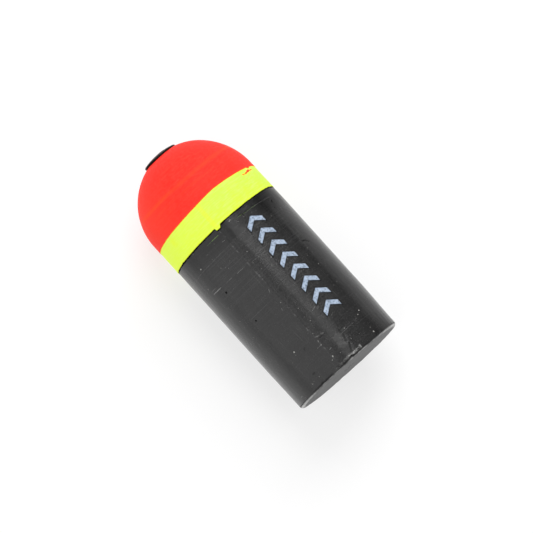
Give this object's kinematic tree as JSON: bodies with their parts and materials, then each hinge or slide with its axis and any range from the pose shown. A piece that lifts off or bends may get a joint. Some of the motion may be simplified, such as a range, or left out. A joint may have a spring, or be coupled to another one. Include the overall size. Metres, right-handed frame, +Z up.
{
  "type": "bobber float",
  "caption": "Cylindrical foam slip float with a domed, painted top, a flat bottom and a flanged plastic line tube through its axis.",
  "frame": {"origin": "centre of the line bore's mouth in the flat bottom face", "axes": "+X along the bore towards the domed, flanged top; the float lies on its side with +Z up"},
  "size_m": [0.064, 0.0288, 0.0288],
  "materials": {
    "foam": "matte",
    "undercoat": "matte",
    "chartreuse_paint": "satin",
    "red_paint": "satin",
    "tube_plastic": "satin",
    "printing_ink": "matte"
  },
  "bodies": {
    "root": {"foam_body": "foam", "white_undercoat": "undercoat", "chartreuse_coat": "chartreuse_paint", "red_coat": "red_paint", "line_tube": "tube_plastic", "printed_mark": "printing_ink"}
  },
  "joints": []
}
